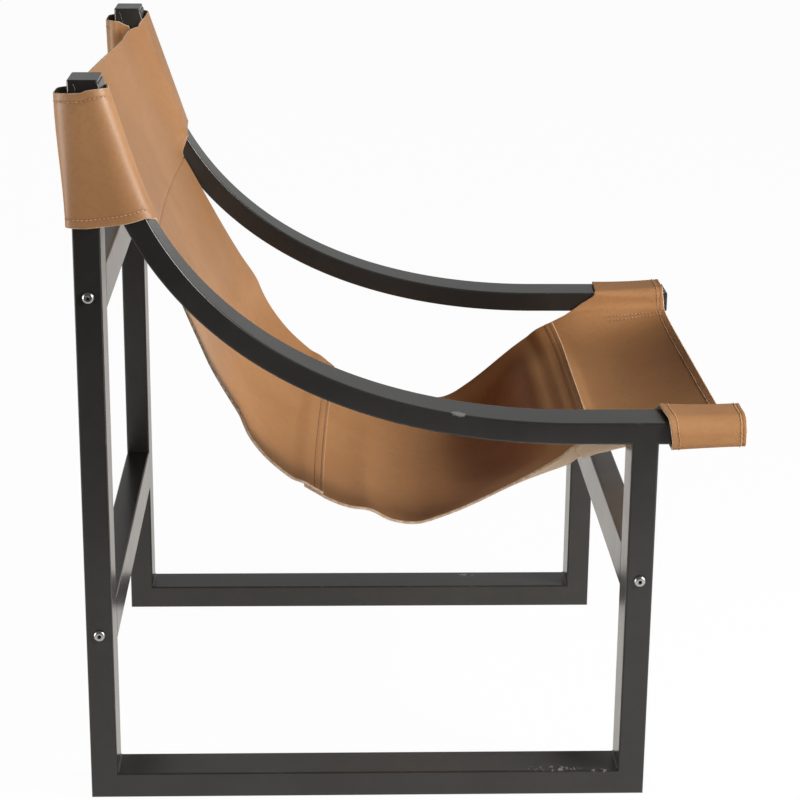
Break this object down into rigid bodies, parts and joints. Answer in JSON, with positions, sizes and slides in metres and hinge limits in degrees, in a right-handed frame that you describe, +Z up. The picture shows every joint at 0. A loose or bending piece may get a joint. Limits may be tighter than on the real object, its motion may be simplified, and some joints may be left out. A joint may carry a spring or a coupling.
{
  "type": "sling lounge chair",
  "caption": "Lounge chair: a sewn leather sling sleeved over the back stubs and looped round the arm ends of a black rectangular steel tube frame with long curved arms.",
  "frame": {"origin": "on the floor, below the middle of the chair's overall box", "axes": "+X towards the front of the chair, +Y towards the sitter's left, +Z up"},
  "size_m": [0.7404, 0.6184, 0.826],
  "materials": {
    "frame": "satin black powder coat",
    "screw": "plain stainless",
    "plug": "moulded",
    "leather": "tan, smooth, low sheen"
  },
  "bodies": {
    "root": {"rear_post_right": "frame", "bottom_rail_right": "frame", "front_leg_right": "frame", "arm_right": "frame", "stub_cap_right": "frame", "arm_end_cap_right": "frame", "rear_post_left": "frame", "bottom_rail_left": "frame", "front_leg_left": "frame", "arm_left": "frame", "stub_cap_left": "frame", "arm_end_cap_left": "frame", "rear_upper_stretcher": "frame", "rear_upper_plug_right": "plug", "rear_upper_screw_right": "screw", "rear_upper_plug_left": "plug", "rear_upper_screw_left": "screw", "rear_lower_stretcher": "frame", "rear_lower_plug_right": "plug", "rear_lower_screw_right": "screw", "rear_lower_plug_left": "plug", "rear_lower_screw_left": "screw", "front_stretcher": "frame", "front_plug_right": "plug", "front_screw_right": "screw", "front_plug_left": "plug", "front_screw_left": "screw", "upper_back_panel": "leather", "lower_back_panel": "leather", "seat_panel": "leather", "front_panel": "leather"}
  },
  "joints": []
}
